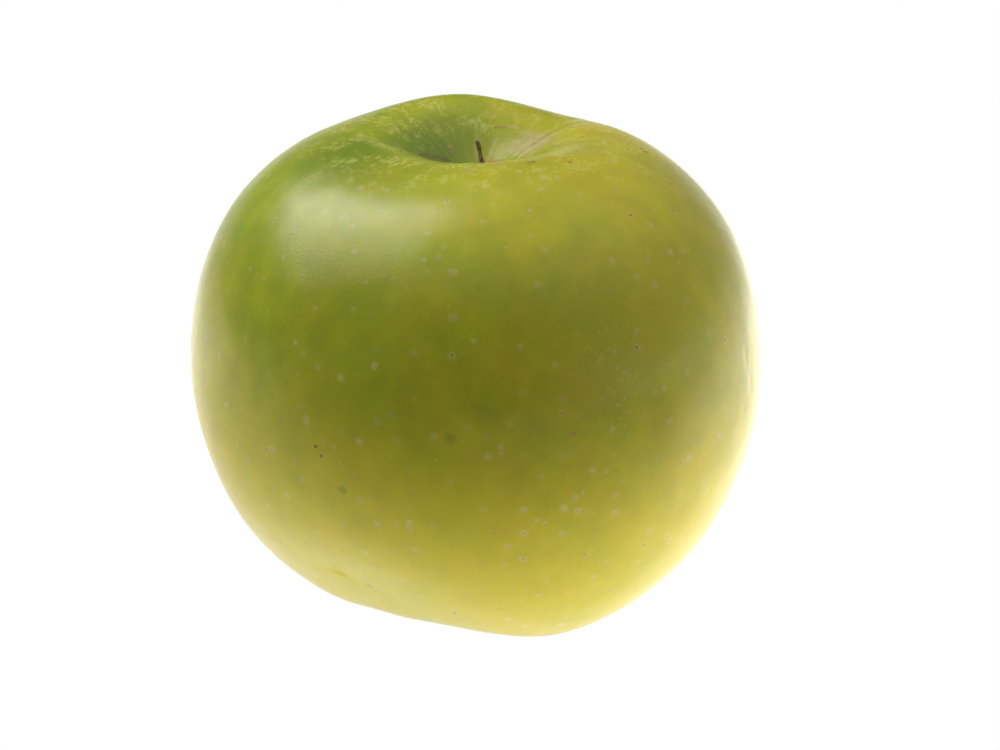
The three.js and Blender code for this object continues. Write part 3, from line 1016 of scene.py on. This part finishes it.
# Each ramp: what it follows, where it starts and ends in metres, and its level at both ends.
table_ramps = (
    (table_spot.outputs["Y"], -0.1, -0.01, 0.3, 1.0),  # dim in front of the fruit
    (table_spot.outputs["X"], -0.12, 0.16, 0.9, 2.1),  # brighter on the right
    (table_spot.outputs["Y"], 0.02, 0.14, 0.0, 0.7),  # and behind
    (from_apple, 0.15, 0.5, 1.0, 0.6),  # dimmer far out
    # Dimmer right under the fruit: a painted shadow of the fruit on the glowing table.
    (from_apple, 0.015, 0.045, 0.7, 1.0),  # and right under the fruit
)
front_edge, right_side, far_side, far_fade, painted_shadow_under_fruit = [
    add(
        glow,
        "MapRange",
        {"Value": follows, "From Min": begins, "From Max": ends, "To Min": low, "To Max": high},
        **SOFT,
    )
    for follows, begins, ends, low, high in table_ramps
]
table_level = add(glow, "Math", {0: right_side, 1: far_side}, operation="ADD")
for factor in (front_edge, far_fade, painted_shadow_under_fruit):
    table_level = add(glow, "Math", {0: table_level, 1: factor}, operation="MULTIPLY")
to_camera = add(glow, "LightPath").outputs["Is Camera Ray"]
shown_level = add(glow, "Mix", {0: to_camera, 2: table_level, 3: 1.0}, data_type="FLOAT")
WARM, WHITE = (1.0, 0.97, 0.88, 1.0), (1.0, 1.0, 1.0, 1.0)  # linear light
sheet_tint = add(glow, "Mix", {SHARE: to_camera, UNDER: WARM, OVER: WHITE}, **COLOURS).outputs[MIXED]
sheet = add(glow, "Emission", {"Color": sheet_tint, "Strength": shown_level})
add(glow, "OutputMaterial", {"Surface": sheet})
table.data.materials.append(glow)

# %% [markdown]
# Round the table the room is dim: darkest behind the camera, lighter overhead and on both sides.
# Just over the table's far and right edges it is bright, which draws a light rim on the fruit.

# %% Dim room
world = bpy.data.worlds.new("dim_room")
world.use_nodes = True
bpy.context.scene.world = world
world.node_tree.nodes.clear()
look = add(world, "SeparateXYZ", {"Vector": add(world, "TexCoord").outputs["Generated"]})
# Each ramp: the part of the direction that it follows, where it starts and ends, and its level.
room_ramps = (
    ("X", 0.0, 0.8, 0.32),  # right wall
    ("X", -0.3, -1.0, 0.1),  # left wall
    ("Z", 0.5, 1.0, 0.6),  # ceiling
    ("X", 0.5, 0.85, 0.9),  # far right
    ("Y", 0.6, 0.95, 0.55),  # far back
    ("Z", 0.2, 0.0, 1.0),  # near the horizon
)
right_wall, left_wall, ceiling, far_right, far_back, near_horizon = [
    add(
        world,
        "MapRange",
        {"Value": look.outputs[part], "From Min": begins, "From Max": ends, "To Max": level},
        **SOFT,
    )
    for part, begins, ends, level in room_ramps
]
far_walls = add(world, "Math", {0: far_right, 1: far_back}, operation="ADD")
lit_edge = add(world, "Math", {0: far_walls, 1: near_horizon}, operation="MULTIPLY")
DARKEST = 0.16  # the level behind the camera
room_level = right_wall
for more in (left_wall, lit_edge, ceiling, DARKEST):
    room_level = add(world, "Math", {0: room_level, 1: more}, operation="ADD")
seen = add(world, "LightPath").outputs["Is Camera Ray"]
shown_room = add(world, "Mix", {0: seen, 2: room_level, 3: 1.0}, data_type="FLOAT")
room_tint = add(world, "Mix", {SHARE: seen, UNDER: WARM, OVER: WHITE}, **COLOURS).outputs[MIXED]
backdrop = add(world, "Background", {"Color": room_tint, "Strength": shown_room})
add(world, "OutputWorld", {"Surface": backdrop})

# %% [markdown]
# One large softbox leans over the apple from the left and a little behind. The gloss of the skin
# mirrors it as the broad pale patch on the shoulder, which fades downwards because the box does.

# %% Softbox
SOFTBOX_SIZE = (0.60, 0.44)  # metres, across and up
SOFTBOX_AWAY = 0.6  # metres
SHIFT_ACROSS, SHIFT_UP = 0.1, 0.04  # metres
SOFTBOX_GLOW = 4.3  # as bright as this many white walls
fruit_middle = Vector((0, 0, fruit_high.z / 2))
toward = Vector((-0.611, 0.28, 0.739)).normalized()
up_the_box = Vector((0.588, -0.463, 0.662))
up_the_box = (up_the_box - toward * up_the_box.dot(toward)).normalized()
across_the_box = up_the_box.cross(toward)
lamp = bpy.data.lights.new("softbox", "AREA")
lamp.shape = "RECTANGLE"
lamp.size, lamp.size_y = SOFTBOX_SIZE
lamp.energy = SOFTBOX_GLOW * math.pi * SOFTBOX_SIZE[0] * SOFTBOX_SIZE[1]
lamp.use_nodes = True
lamp.node_tree.nodes.clear()
box_spot = add(lamp, "SeparateXYZ", {"Vector": add(lamp, "NewGeometry").outputs["Parametric"]})
box_fade = add(
    lamp,
    "MapRange",
    {"Value": box_spot.outputs["X"], "From Min": 0.3, "From Max": 1.0, "To Min": 1.05, "To Max": 0.05},
)
box_glow = add(lamp, "Emission", {"Strength": box_fade})
add(lamp, "OutputLight", {"Surface": box_glow})
softbox = bpy.data.objects.new("softbox", lamp)
box_shift = across_the_box * SHIFT_ACROSS + up_the_box * SHIFT_UP
softbox.location = fruit_middle + toward * SOFTBOX_AWAY + box_shift
softbox.rotation_mode = "QUATERNION"
box_axes = Matrix((across_the_box, up_the_box, toward)).transposed()
softbox.rotation_quaternion = box_axes.to_quaternion()
softbox.visible_camera = False
bpy.context.scene.collection.objects.link(softbox)
print("softbox power, W:", round(lamp.energy, 2))

# %% [markdown]
# The camera looks down on the crown by 17 degrees through a long lens, which keeps the outline
# free of perspective. The view transform stays plain, so that white is white.

# %% Camera
TILT = math.radians(17)
STAND_OFF = 0.56  # metres from what it looks at
LENS, SENSOR = 127.4, 36  # mm
aim = Vector((4.1, 0, 37.5)) * MM
back = Vector((0, -math.cos(TILT), math.sin(TILT)))
camera_data = bpy.data.cameras.new("camera")
camera_data.lens = LENS
camera_data.sensor_width = SENSOR
camera = bpy.data.objects.new("camera", camera_data)
camera.location = aim + back * STAND_OFF
camera.rotation_mode = "QUATERNION"
camera.rotation_quaternion = back.to_track_quat("Z", "Y")
bpy.context.scene.collection.objects.link(camera)
bpy.context.scene.camera = camera
bpy.context.scene.view_settings.view_transform = "Standard"
print("camera, m:", [round(c, 3) for c in camera.location])
